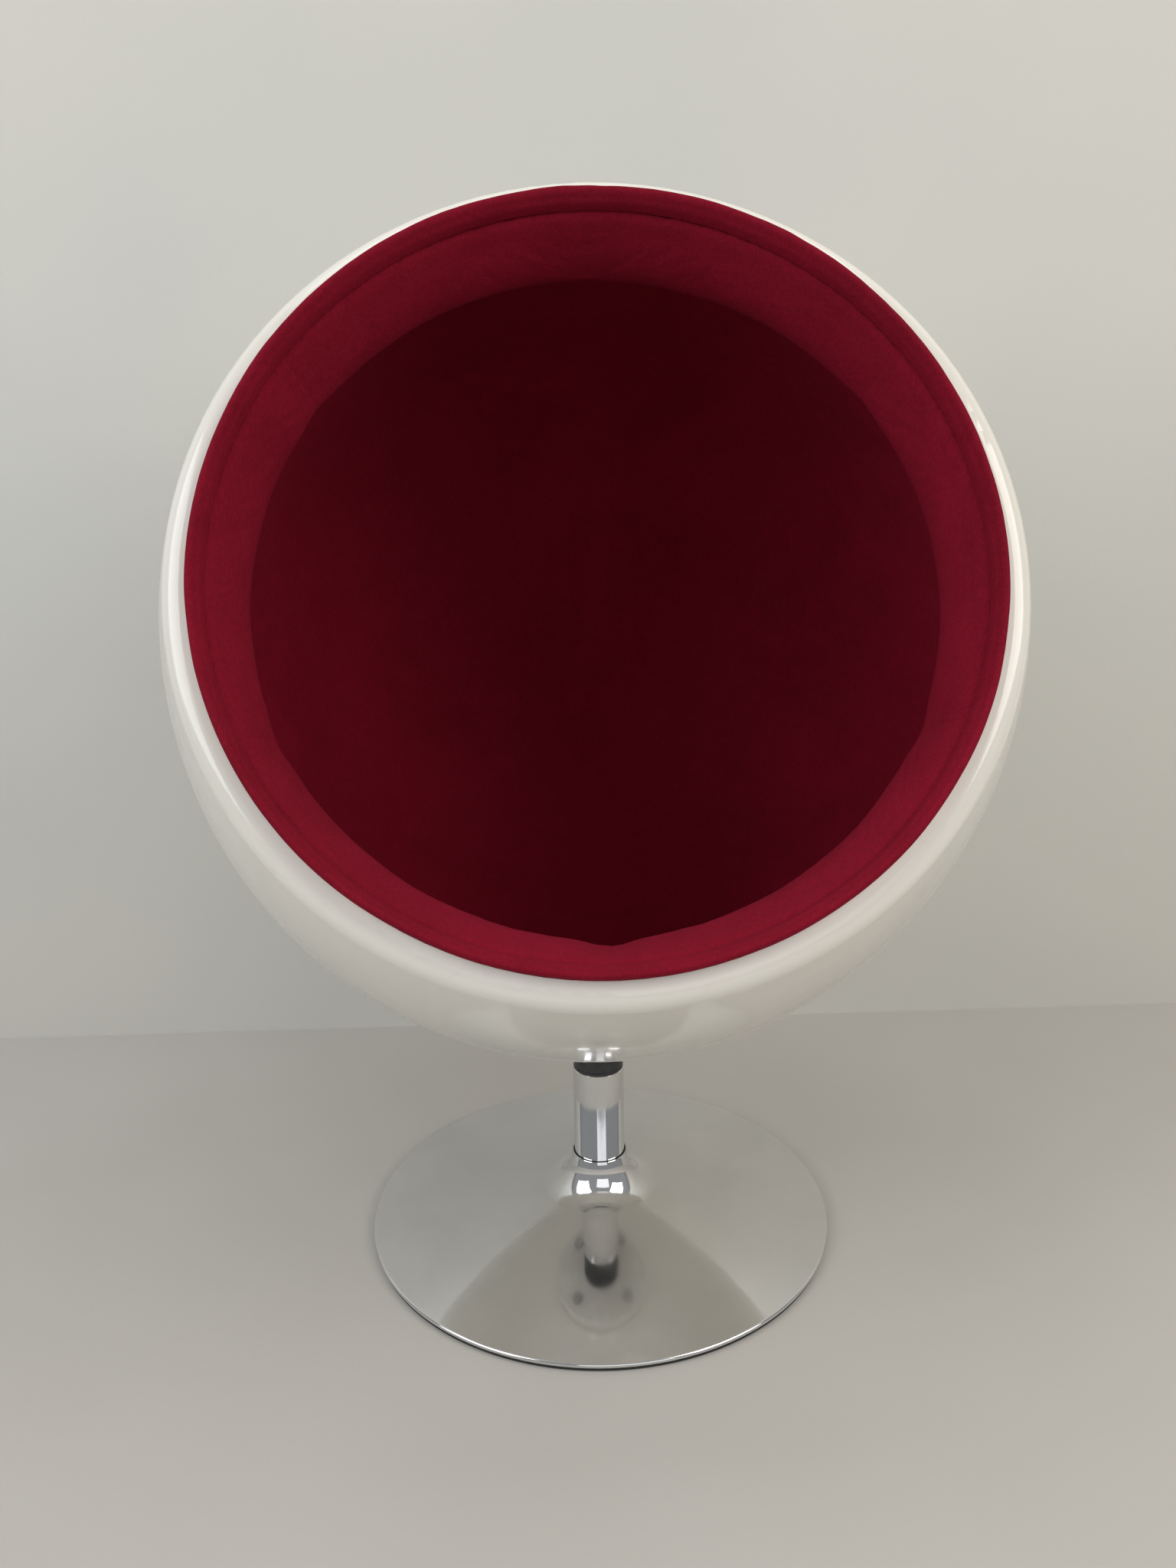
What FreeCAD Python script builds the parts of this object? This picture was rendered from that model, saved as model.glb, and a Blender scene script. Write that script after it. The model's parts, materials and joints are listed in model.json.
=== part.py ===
"""Pod chair: a moulded, upholstered pod that turns on a chromed column with a trumpet base.

Millimetres, +Z up. The origin is on the floor under the column, and the mouth of the pod faces -Y.
The pod is a body of revolution about a raised axis: half a ball behind, a longer bow in front.
"""
import FreeCAD, Part
import math
import os
import Sketcher

# Driving dimensions, in millimetres, degrees and counts
SIZES = {
    # Trumpet base
    "base_radius": 275,
    "base_sheet": 1.5,
    "rim_roll": 2.8,
    "cone_slope": 9.2,
    "flare_radius": 42,
    "collar_straight": 3,
    "collar_gap": 1.5,
    "seal_height": 5,
    "seal_recess": 0.8,
    "floor_ring_height": 4,
    "floor_ring_width": 15,
    "floor_ring_inset": 2,
    "floor_ring_bevel": 1,
    "plate_overlap": 4,
    "base_plate_thickness": 4,
    "ballast_inset": 95,
    "ballast_thickness": 12,
    # Column
    "tube_radius": 30,
    "tube_wall": 2.5,
    "tube_length": 180,
    "tube_bevel": 0.6,
    "foot_flange_radius": 60,
    "foot_flange_thickness": 8,
    "foot_bolt_circle": 45,
    # Screws, nuts and washers, all of one thread size
    "bolt_count": 4,
    "bolt_radius": 4,
    "bolt_tip_gap": 0.5,
    "bolt_past_nut": 2,
    "cap_head_radius": 6.5,
    "cap_head_height": 8,
    "socket_width": 6,
    "socket_depth": 4,
    "hex_width": 13,
    "hex_head_height": 5.3,
    "nut_height": 6.5,
    "washer_radius": 8,
    "washer_thickness": 1.6,
    # Swivel
    "spindle_radius": 17.5,
    "hub_radius": 26,
    "hub_height": 34,
    "bush_length": 40,
    "bush_flange_height": 4,
    "bush_bevel": 0.8,
    "lower_bush_length": 30,
    "lower_bush_height": 34.2,
    "race_land": 1,
    "race_thickness": 3,
    "ball_radius": 3,
    "ball_count": 14,
    "cage_rim": 0.7,
    "cage_thickness": 2.4,
    "snap_ring_thickness": 1.6,
    "snap_ring_width": 5,
    "snap_ring_opening": 40,
    "groove_depth": 1.5,
    "groove_land": 6,
    "cover_wall": 1.6,
    "cover_gap": 1.3,
    "cover_lip": 3,
    "swivel_plate_radius": 77,
    "swivel_plate_thickness": 6,
    "pod_bolt_circle": 58,
    "saddle_radius": 74,
    "saddle_thickness": 9,
    # Pod shell
    "pod_radius": 430,
    "pod_bow": 682,
    "pod_tilt": 27,
    "shell_wall": 6,
    "lip_reach": 262,
    "lip_width": 22,
    "lip_round": 20,
    "backing_radius": 100,
    "backing_thickness": 18,
    # Upholstery
    "foam_thickness": 50,
    "foam_gores": 12,
    "foam_crown_angle": 20,
    "cover_cloth": 2,
    "tack_ring_depth": 15.5,
    "band_width": 12.5,
    "band_proud": 18,
    "band_shoulder": 3.2,
    "band_crown": 22,
    "band_taper": 2.5,
    "crease_depth": 1,
    "pad_overhang": 27,
    "pad_depth": 66,
    "pad_nose": 22,
    "seam_low": 65,
    "seam_high": 126,
    "seam_pull": 9,
    # Clearances
    "running_fit": 0.05,
    "thread_fit": 0.05,
    "bolt_clearance": 0.5,
    "seat_gap": 0.3,
    "press_gap": 0.1,
    "turning_gap": 0.4,
}

doc = FreeCAD.newDocument("pod_chair")
sheet = doc.addObject("Spreadsheet::Sheet", "Sizes")
parts = []


class Size:
    """A number that keeps the spreadsheet expression it comes from."""

    def __init__(self, value, text=None):
        self.value = value
        self.text = text or f"({value})"

    def joined(self, other, sign, value):
        return Size(value, f"({self.text} {sign} {size(other).text})")

    def __add__(self, other):
        return self.joined(other, "+", self.value + size(other).value)

    def __sub__(self, other):
        return self.joined(other, "-", self.value - size(other).value)

    def __mul__(self, other):
        return self.joined(other, "*", self.value * size(other).value)

    def __truediv__(self, other):
        return self.joined(other, "/", self.value / size(other).value)

    def __neg__(self):
        return Size(-self.value, f"(-1 * {self.text})")

    def __radd__(self, other):
        return size(other) + self

    def __rsub__(self, other):
        return size(other) - self

    def __rmul__(self, other):
        return size(other) * self


def size(number):
    return number if isinstance(number, Size) else Size(number)


def root(number):
    return Size(math.sqrt(number.value), f"sqrt({number.text})")


def sine(angle):
    return Size(math.sin(math.radians(angle.value)), f"sin({angle.text})")


def cosine(angle):
    return Size(math.cos(math.radians(angle.value)), f"cos({angle.text})")


def tangent(angle):
    return Size(math.tan(math.radians(angle.value)), f"tan({angle.text})")


def leg(hypotenuse, other_leg):
    """The remaining side of a right-angled triangle."""
    return root(hypotenuse * hypotenuse - other_leg * other_leg)


class Cells:
    """The spreadsheet's driving dimensions, one attribute each."""

    def __init__(self, values):
        for row, (name, value) in enumerate(values.items(), start=1):
            sheet.set(f"A{row}", name)
            sheet.set(f"B{row}", str(value))
            sheet.setAlias(f"B{row}", name)
            setattr(self, name, Size(value, f"Sizes.{name}"))


c = Cells(SIZES)
doc.recompute()


# Sketch and feature helpers


def new_body(label, level=None, tilted=False):
    """A body whose own Z axis is the column's, or with tilted, the pod's axis through its mouth."""
    body = doc.addObject("PartDesign::Body", label)
    body.Label = label
    body.AllowCompound = True
    if tilted:
        body.Placement.Rotation = FreeCAD.Rotation(FreeCAD.Vector(1, 0, 0), 90 - c.pod_tilt.value)
        body.setExpression("Placement.Rotation.Angle", (90 - c.pod_tilt).text)
    if level is not None:
        body.setExpression("Placement.Base.z", level.text)
    parts.append(body)
    return body


def new_sketch(body, role, level=None):
    sketch = body.newObject("Sketcher::SketchObject", f"{body.Name}_sketch")
    base = [plane for plane in body.Origin.OriginFeatures if plane.Role == role][0]
    sketch.AttachmentSupport = [(base, "")]
    sketch.MapMode = "FlatFace"
    if level is not None:
        sketch.setExpression("AttachmentOffset.Base.z", level.text)
    return sketch


def constrain(sketch, kind, *where, amount):
    index = sketch.addConstraint(Sketcher.Constraint(kind, *where, amount.value))
    sketch.setExpression(f"Constraints[{index}]", amount.text)


def arc_between(start, end, radius):
    """The short arc from start to end, anticlockwise for a positive radius."""
    chord = end - start
    across = FreeCAD.Vector(-chord.y, chord.x, 0).normalize()
    rise = math.sqrt(max(radius * radius - chord.Length * chord.Length / 4, 0))
    centre = (start + end) / 2 + across * math.copysign(rise, radius)
    first, last = (start, end) if radius > 0 else (end, start)
    angles = [math.atan2(point.y - centre.y, point.x - centre.x) for point in (first, last)]
    circle = Part.Circle(centre, FreeCAD.Vector(0, 0, 1), abs(radius))
    return Part.ArcOfCircle(circle, angles[0], angles[1])


def outline(sketch, corners):
    """A closed outline. A corner is x, y and, where an arc leaves it, that arc's signed radius."""
    points = [FreeCAD.Vector(size(x).value, size(y).value, 0) for x, y, *_ in corners]
    ends = []
    for index, (x, y, *bend) in enumerate(corners):
        start = points[index]
        end = points[(index + 1) % len(points)]
        if bend:
            radius = bend[0]
            geometry = sketch.addGeometry(arc_between(start, end, radius.value), False)
            constrain(sketch, "Radius", geometry, amount=radius if radius.value > 0 else -radius)
            ends.append((geometry, 1, 2) if radius.value > 0 else (geometry, 2, 1))
        else:
            ends.append((sketch.addGeometry(Part.LineSegment(start, end), False), 1, 2))
    for index, (x, y, *_) in enumerate(corners):
        geometry, first, last = ends[index]
        after, after_first, _ = ends[(index + 1) % len(ends)]
        sketch.addConstraint(Sketcher.Constraint("Coincident", geometry, last, after, after_first))
        constrain(sketch, "DistanceX", -1, 1, geometry, first, amount=size(x))
        constrain(sketch, "DistanceY", -1, 1, geometry, first, amount=size(y))


def circle(sketch, radius, x=0, y=0):
    centre = FreeCAD.Vector(size(x).value, size(y).value, 0)
    shape = Part.Circle(centre, FreeCAD.Vector(0, 0, 1), radius.value)
    geometry = sketch.addGeometry(shape, False)
    constrain(sketch, "Radius", geometry, amount=radius)
    constrain(sketch, "DistanceX", -1, 1, geometry, 3, amount=size(x))
    constrain(sketch, "DistanceY", -1, 1, geometry, 3, amount=size(y))


def hexagon(sketch, width, x, y):
    reach = width / (2 * cosine(size(30)))
    turns = [size(60 * step) for step in range(6)]
    outline(sketch, [(x + reach * cosine(turn), y + reach * sine(turn)) for turn in turns])


def around(count, radius):
    """Evenly spaced places on a circle, the first one halfway to the second from the X axis."""
    step = 360 / count.value
    turns = [size(step * (index + 0.5)) for index in range(int(count.value))]
    return [(radius * cosine(turn), radius * sine(turn)) for turn in turns]


def revolve(body, corners, angle=None):
    sketch = new_sketch(body, "XZ_Plane")
    outline(sketch, corners)
    turned = body.newObject("PartDesign::Revolution", f"{body.Name}_turned")
    turned.Profile = sketch
    turned.ReferenceAxis = (sketch, ["V_Axis"])
    turned.Angle = 360
    if angle is not None:
        turned.setExpression("Angle", angle.text)
    sketch.Visibility = False
    return body


def pad(body, sketch, length):
    padded = body.newObject("PartDesign::Pad", f"{body.Name}_pad")
    padded.Profile = sketch
    padded.setExpression("Length", length.text)
    return padded


def plumb_sketch(body, level):
    """A horizontal sketch in a tilted body, at a height from the pod's centre."""
    sketch = new_sketch(body, "XY_Plane")
    lean = FreeCAD.Rotation(FreeCAD.Vector(-1, 0, 0), 90 - c.pod_tilt.value)
    sketch.AttachmentOffset = FreeCAD.Placement(lean.multVec(FreeCAD.Vector(0, 0, level.value)), lean)
    sketch.setExpression("AttachmentOffset.Rotation.Angle", (90 - c.pod_tilt).text)
    sketch.setExpression("AttachmentOffset.Base.y", (level * cosine(c.pod_tilt)).text)
    sketch.setExpression("AttachmentOffset.Base.z", (level * sine(c.pod_tilt)).text)
    return sketch


def drill(body, radius, places, level=None, plumb=False):
    """Round holes down through the body from a level. With plumb they stay upright in a tilted body."""
    sketch = plumb_sketch(body, level) if plumb else new_sketch(body, "XY_Plane", level)
    for x, y in places:
        circle(sketch, radius, x, y)
    doc.recompute()
    before = body.Shape.Volume
    pocket = body.newObject("PartDesign::Pocket", f"{body.Name}_holes")
    pocket.Profile = sketch
    pocket.Type = "ThroughAll"
    doc.recompute()
    if not body.Shape.Volume < before:
        raise ValueError(f"the holes in {body.Label} cut nothing")


def washer_like(label, level, inner, outer, thickness):
    """A flat ring that lies on its seat."""
    body = new_body(label, level)
    return revolve(body, [(inner, 0), (outer, 0), (outer, thickness), (inner, thickness)])


# Heights of the seats, from the floor up

ring_top = c.floor_ring_height
base_plate_top = ring_top + c.base_plate_thickness
ballast_top = base_plate_top + c.ballast_thickness
foot_flange_top = ballast_top + c.foot_flange_thickness
tube_top = ballast_top + c.tube_length
bearing_seat = tube_top + c.bush_flange_height
cage_middle = bearing_seat + c.race_thickness + c.ball_radius
hub_foot = cage_middle + c.ball_radius + c.race_thickness
swivel_plate_seat = hub_foot + c.hub_height
saddle_seat = swivel_plate_seat + c.swivel_plate_thickness
pod_height = saddle_seat + c.saddle_thickness + c.pod_radius
lower_bush_seat = ballast_top + c.lower_bush_height

# Radii that several pieces share

tube_bore = c.tube_radius - c.tube_wall
bush_bore = c.spindle_radius + c.running_fit
bush_outer = tube_bore - c.press_gap
race_inner = c.spindle_radius + 2 * c.turning_gap
ball_circle = race_inner + c.race_land + c.ball_radius
race_outer = ball_circle + c.ball_radius + c.race_land
cover_inner = race_outer + c.cover_gap
bush_flange = cover_inner + c.cover_wall
ring_outer = c.base_radius - c.floor_ring_inset
ring_inner = ring_outer - c.floor_ring_width
ballast_radius = c.base_radius - c.ballast_inset
bolt_hole = c.bolt_radius + c.bolt_clearance
threaded_hole = c.bolt_radius + c.thread_fit
foot_bolts = around(c.bolt_count, c.foot_bolt_circle)
pod_bolts = around(c.bolt_count, c.pod_bolt_circle)


# Base


def trumpet_base():
    """Spun cone with a rolled rim on the floor ring and a flare up to the collar round the tube."""
    rim = c.base_radius - c.rim_roll
    bore = c.tube_radius + c.collar_gap
    collar = bore + c.base_sheet
    bend_x = collar + c.flare_radius * (1 - sine(c.cone_slope))
    bend_z = 2 * c.rim_roll + (rim - bend_x) * tangent(c.cone_slope)
    flare_z = bend_z + c.flare_radius * cosine(c.cone_slope)
    top = flare_z + c.collar_straight
    under_x = bend_x - c.base_sheet * sine(c.cone_slope)
    under_z = bend_z - c.base_sheet * cosine(c.cone_slope)
    rim_inner = rim - c.rim_roll
    rim_under = under_z - (rim_inner - under_x) * tangent(c.cone_slope)
    body = new_body("trumpet_base", ring_top)
    revolve(body, [
        (bore, top),
        (bore, flare_z, c.flare_radius + c.base_sheet),
        (under_x, under_z),
        (rim_inner, rim_under),
        (rim_inner, 0),
        (rim, 0, c.rim_roll),
        (c.base_radius, c.rim_roll, c.rim_roll),
        (rim, 2 * c.rim_roll),
        (bend_x, bend_z, -c.flare_radius),
        (collar, flare_z),
        (collar, top),
    ])
    return bore, ring_top + top


def floor_ring():
    """Rubber ring under the rolled rim."""
    body = new_body("floor_ring", size(0))
    revolve(body, [
        (ring_inner, 0),
        (ring_outer - c.floor_ring_bevel, 0),
        (ring_outer, c.floor_ring_bevel),
        (ring_outer, ring_top),
        (ring_inner, ring_top),
    ])


def round_plate(label, level, radius, thickness, bore=None):
    body = new_body(label, level)
    sketch = new_sketch(body, "XY_Plane")
    circle(sketch, radius)
    if bore is not None:
        circle(sketch, bore)
    pad(body, sketch, thickness)
    return body


def base_plates():
    """Felt cover, base plate and ballast disc, stacked inside the floor ring and the cone."""
    round_plate("base_cover", size(0), ring_inner - c.seat_gap, ring_top)
    plate = round_plate("base_plate", ring_top, ring_inner + c.plate_overlap, c.base_plate_thickness)
    drill(plate, threaded_hole, foot_bolts, c.base_plate_thickness)
    disc = round_plate("ballast_disc", base_plate_top, ballast_radius, c.ballast_thickness)
    drill(disc, bolt_hole, foot_bolts, c.ballast_thickness)


def column(collar_bore, collar_top):
    """Tube with its foot flange, and the seal between the tube and the collar."""
    body = new_body("column_tube", ballast_top)
    revolve(body, [
        (tube_bore, 0),
        (c.tube_radius, 0),
        (c.tube_radius, c.tube_length - c.tube_bevel),
        (c.tube_radius - c.tube_bevel, c.tube_length),
        (tube_bore, c.tube_length),
    ])
    flange_bore = c.tube_radius + c.press_gap
    flange = round_plate(
        "column_flange", ballast_top, c.foot_flange_radius, c.foot_flange_thickness, flange_bore
    )
    drill(flange, bolt_hole, foot_bolts, c.foot_flange_thickness)
    seal_level = collar_top - c.seal_recess - c.seal_height
    washer_like(
        "collar_seal", seal_level, flange_bore, collar_bore - c.press_gap, c.seal_height
    )


def washers(body, level, places):
    sketch = new_sketch(body, "XY_Plane", level)
    for x, y in places:
        circle(sketch, c.washer_radius, x, y)
        circle(sketch, c.bolt_radius + c.bolt_clearance / 2, x, y)
    pad(body, sketch, c.washer_thickness)


def column_fasteners():
    """Cap screws from the flange down into the base plate, with a washer each."""
    washers(new_body("column_washers", foot_flange_top), None, foot_bolts)
    body = new_body("column_bolts", foot_flange_top + c.washer_thickness)
    grip = c.washer_thickness + c.foot_flange_thickness + c.ballast_thickness
    shank = grip + c.base_plate_thickness - c.bolt_tip_gap
    shanks = new_sketch(body, "XY_Plane", -shank)
    heads = new_sketch(body, "XY_Plane")
    for x, y in foot_bolts:
        circle(shanks, c.bolt_radius, x, y)
        circle(heads, c.cap_head_radius, x, y)
    pad(body, shanks, shank)
    pad(body, heads, c.cap_head_height)
    doc.recompute()
    sockets = new_sketch(body, "XY_Plane", c.cap_head_height)
    for x, y in foot_bolts:
        hexagon(sockets, c.socket_width, x, y)
    pocket = body.newObject("PartDesign::Pocket", "column_bolts_sockets")
    pocket.Profile = sockets
    pocket.setExpression("Length", c.socket_depth.text)


# Swivel


def bushes():
    """Nylon bushes in the tube. The upper one has a flange that carries the thrust bearing."""
    body = new_body("upper_bush", tube_top)
    revolve(body, [
        (bush_bore, -c.bush_length),
        (bush_outer, -c.bush_length),
        (bush_outer, 0),
        (bush_flange, 0),
        (bush_flange, c.bush_flange_height - c.bush_bevel),
        (bush_flange - c.bush_bevel, c.bush_flange_height),
        (bush_bore, c.bush_flange_height),
    ])
    washer_like("lower_bush", lower_bush_seat, bush_bore, bush_outer, c.lower_bush_length)


def thrust_bearing():
    """Two races with caged balls between them."""
    washer_like("bearing_lower_race", bearing_seat, race_inner, race_outer, c.race_thickness)
    upper = hub_foot - c.race_thickness
    washer_like("bearing_upper_race", upper, race_inner, race_outer, c.race_thickness)
    places = around(c.ball_count, ball_circle)
    cage = new_body("bearing_cage", cage_middle - c.cage_thickness / 2)
    sketch = new_sketch(cage, "XY_Plane")
    pocket_radius = c.ball_radius + c.press_gap
    circle(sketch, ball_circle + pocket_radius + c.cage_rim)
    circle(sketch, ball_circle - pocket_radius - c.cage_rim)
    for x, y in places:
        circle(sketch, pocket_radius, x, y)
    pad(cage, sketch, c.cage_thickness)
    balls = []
    for number, (x, y) in enumerate(places, start=1):
        ball = doc.addObject("Part::Sphere", f"ball_{number}")
        ball.setExpression("Radius", c.ball_radius.text)
        ball.setExpression("Placement.Base.x", x.text)
        ball.setExpression("Placement.Base.y", y.text)
        ball.setExpression("Placement.Base.z", cage_middle.text)
        balls.append(ball)
    group = doc.addObject("Part::Compound", "bearing_balls")
    group.Links = balls
    group.Label = "bearing_balls"
    parts.append(group)


def spindle():
    """Shaft with a snap-ring groove under the lower bush, and a hub that seats on the bearing."""
    ring_level = lower_bush_seat - c.turning_gap - c.snap_ring_thickness
    groove = c.spindle_radius - c.groove_depth
    groove_top = lower_bush_seat - c.turning_gap / 2 - hub_foot
    groove_foot = ring_level - c.press_gap - hub_foot
    tip = groove_foot - c.groove_land
    pin_top = c.hub_height + c.swivel_plate_thickness
    body = new_body("spindle", hub_foot)
    revolve(body, [
        (0, tip),
        (c.spindle_radius, tip),
        (c.spindle_radius, groove_foot),
        (groove, groove_foot),
        (groove, groove_top),
        (c.spindle_radius, groove_top),
        (c.spindle_radius, 0),
        (c.hub_radius, 0),
        (c.hub_radius, c.hub_height),
        (c.spindle_radius, c.hub_height),
        (c.spindle_radius, pin_top),
        (0, pin_top),
    ])
    ring = new_body("retaining_ring", ring_level)
    inner = groove + c.press_gap
    outer = inner + c.snap_ring_width
    corners = [
        (inner, 0),
        (outer, 0),
        (outer, c.snap_ring_thickness),
        (inner, c.snap_ring_thickness),
    ]
    revolve(ring, corners, 360 - c.snap_ring_opening)


def dust_cover():
    """Sleeve that hangs from the swivel plate and hides the bearing."""
    foot = bearing_seat + c.turning_gap
    height = swivel_plate_seat - foot
    lip = c.hub_radius + c.press_gap
    body = new_body("dust_cover", foot)
    revolve(body, [
        (cover_inner, 0),
        (bush_flange, 0),
        (bush_flange, height),
        (lip, height),
        (lip, height - c.cover_lip),
        (cover_inner, height - c.cover_lip),
    ])


def swivel_plate():
    """Round plate on the hub, bolted up through the saddle into the shell."""
    plate = round_plate(
        "swivel_plate",
        swivel_plate_seat,
        c.swivel_plate_radius,
        c.swivel_plate_thickness,
        c.spindle_radius + c.press_gap,
    )
    drill(plate, bolt_hole, pod_bolts, c.swivel_plate_thickness)


def saddle():
    """Block that fills the space between the flat plate and the round underside of the shell."""
    dish = c.pod_radius + c.press_gap
    foot = -(c.pod_radius + c.saddle_thickness)
    body = new_body("shell_saddle", pod_height)
    revolve(body, [
        (0, foot),
        (c.saddle_radius, foot),
        (c.saddle_radius, -leg(dish, c.saddle_radius), -dish),
        (0, -dish),
    ])
    drill(body, bolt_hole, pod_bolts)


# Pod shell. Its outlines are drawn with x from the pod's axis and y forward from its middle

bow_centre = c.pod_bow - c.pod_radius
lip_back = c.lip_reach - c.shell_wall
bend_bow = c.pod_bow - c.lip_round
bend_reach = c.lip_reach - c.lip_round
bend_leg = leg(bend_bow, bend_reach)
bend_centre = bend_leg - bow_centre


def skin(reach, depth):
    """Radius of the surface that lies depth inside the shell's outer skin, at a reach forward."""
    return leg(c.pod_bow - depth, size(reach)) - bow_centre


def lip_bend(depth):
    """Start and end of the round that lies depth inside the lip's outer corner."""
    growth = (c.pod_bow - depth) / bend_bow
    start = (bend_leg * growth - bow_centre, bend_reach * growth, c.lip_round - depth)
    return start, (bend_centre, c.lip_reach - depth)


mouth_radius = skin(c.lip_reach, size(0)) - c.lip_width


def shell():
    """One moulding: half a ball, a bow forward to the lip, and the lip turned in to the mouth."""
    inner = c.pod_radius - c.shell_wall
    body = new_body("shell", pod_height, tilted=True)
    revolve(body, [
        (0, -c.pod_radius, c.pod_radius),
        (c.pod_radius, 0, c.pod_bow),
        *lip_bend(size(0)),
        (mouth_radius, c.lip_reach),
        (mouth_radius, lip_back),
        (bend_centre, lip_back, c.shell_wall - c.lip_round),
        (*lip_bend(c.shell_wall)[0][:2], c.shell_wall - c.pod_bow),
        (inner, 0, -inner),
        (0, -inner),
    ])
    drill(body, bolt_hole, pod_bolts, size(0), plumb=True)


def backing_plate():
    """Block inside the shell with a flat top for the nuts."""
    dish = c.pod_radius - c.shell_wall - c.press_gap
    top = c.backing_thickness + c.shell_wall - c.pod_radius
    body = new_body("backing_plate", pod_height)
    revolve(body, [
        (0, -dish, dish),
        (c.backing_radius, -leg(dish, c.backing_radius)),
        (c.backing_radius, top),
        (0, top),
    ])
    drill(body, bolt_hole, pod_bolts)
    return top


def pod_fasteners(backing_top):
    """Hex bolts from under the swivel plate to nuts on the backing plate, washers at both ends."""
    nut_foot = backing_top + c.washer_thickness
    washer_foot = swivel_plate_seat - c.washer_thickness - pod_height
    body = new_body("shell_washers", pod_height)
    washers(body, washer_foot, pod_bolts)
    washers(body, backing_top, pod_bolts)
    body = new_body("shell_bolts", pod_height)
    heads = new_sketch(body, "XY_Plane", washer_foot - c.hex_head_height)
    shanks = new_sketch(body, "XY_Plane", washer_foot)
    for x, y in pod_bolts:
        hexagon(heads, c.hex_width, x, y)
        circle(shanks, c.bolt_radius, x, y)
    pad(body, heads, c.hex_head_height)
    pad(body, shanks, nut_foot + c.nut_height + c.bolt_past_nut - washer_foot)
    body = new_body("shell_nuts", pod_height)
    nuts = new_sketch(body, "XY_Plane", nut_foot)
    for x, y in pod_bolts:
        hexagon(nuts, c.hex_width, x, y)
        circle(nuts, threaded_hole, x, y)
    pad(body, nuts, c.nut_height)
    return nut_foot + c.nut_height + c.bolt_past_nut


# Upholstery, in the pod's own frame

crease_radius = mouth_radius - c.band_width
crease_reach = c.lip_reach - c.crease_depth
nose_reach = crease_reach - c.pad_depth
pad_back = nose_reach - c.pad_nose
foam_front = pad_back - c.seat_gap
tack_top = lip_back - c.seat_gap
tack_foot = tack_top - c.tack_ring_depth
shell_side = c.shell_wall + c.seat_gap
foam_side = c.shell_wall + c.foam_thickness


def seat_foam(bolt_top):
    """A round crown at the back and gores from it to the mouth, hollowed for the backing plate."""
    outer = c.pod_radius - shell_side
    inner = c.pod_radius - foam_side
    gap_turn = c.seat_gap / inner * (180 / math.pi)
    crown = c.foam_crown_angle
    start = crown + gap_turn
    body = new_body("seat_foam", pod_height, tilted=True)
    revolve(body, [
        (0, -outer, outer),
        (outer * sine(crown), -outer * cosine(crown)),
        (inner * sine(crown), -inner * cosine(crown), -inner),
        (0, -inner),
    ])
    revolve(body, [
        (outer * sine(start), -outer * cosine(start), outer),
        (outer, 0, c.pod_bow - shell_side),
        (skin(foam_front, shell_side), foam_front),
        (skin(foam_front, foam_side), foam_front, foam_side - c.pod_bow),
        (inner, 0, -inner),
        (inner * sine(start), -inner * cosine(start)),
    ], size(360) / c.foam_gores - gap_turn)
    gore = body.Tip
    gores = body.newObject("PartDesign::PolarPattern", "seat_foam_gores")
    gores.Originals = [gore]
    gores.Axis = (gore.Profile[0], ["V_Axis"])
    gores.Angle = 360
    gores.setExpression("Occurrences", c.foam_gores.text)
    body.Tip = gores
    drill(body, c.backing_radius + c.seat_gap, [(0, 0)], bolt_top + c.bolt_past_nut, plumb=True)


def seat_cover():
    """Cloth bowl glued to the foam."""
    outer = foam_side + c.press_gap
    inner = foam_side + c.cover_cloth
    body = new_body("seat_cover", pod_height, tilted=True)
    revolve(body, [
        (0, outer - c.pod_radius, c.pod_radius - outer),
        (c.pod_radius - outer, 0, c.pod_bow - outer),
        (skin(foam_front, outer), foam_front),
        (skin(foam_front, inner), foam_front, inner - c.pod_bow),
        (c.pod_radius - inner, 0, inner - c.pod_radius),
        (0, inner - c.pod_radius),
    ])


def tack_ring():
    """Hoop behind the lip that the upholstery is fixed to."""
    body = new_body("tack_ring", pod_height, tilted=True)
    revolve(body, [
        (mouth_radius, tack_foot),
        (skin(tack_foot, shell_side), tack_foot, c.pod_bow - shell_side),
        *lip_bend(shell_side),
        (mouth_radius, tack_top),
    ])


def front_band():
    """Padded strip that stands proud of the lip and falls to the crease."""
    outer = mouth_radius - c.seat_gap
    crown = c.lip_reach + c.band_proud
    body = new_body("front_band", pod_height, tilted=True)
    revolve(body, [
        (crease_radius - c.band_taper, tack_foot),
        (outer, tack_foot),
        (outer, crown - c.band_shoulder, c.band_shoulder),
        (outer - c.band_shoulder, crown, c.band_crown),
        (crease_radius, crease_reach),
    ])


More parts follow.
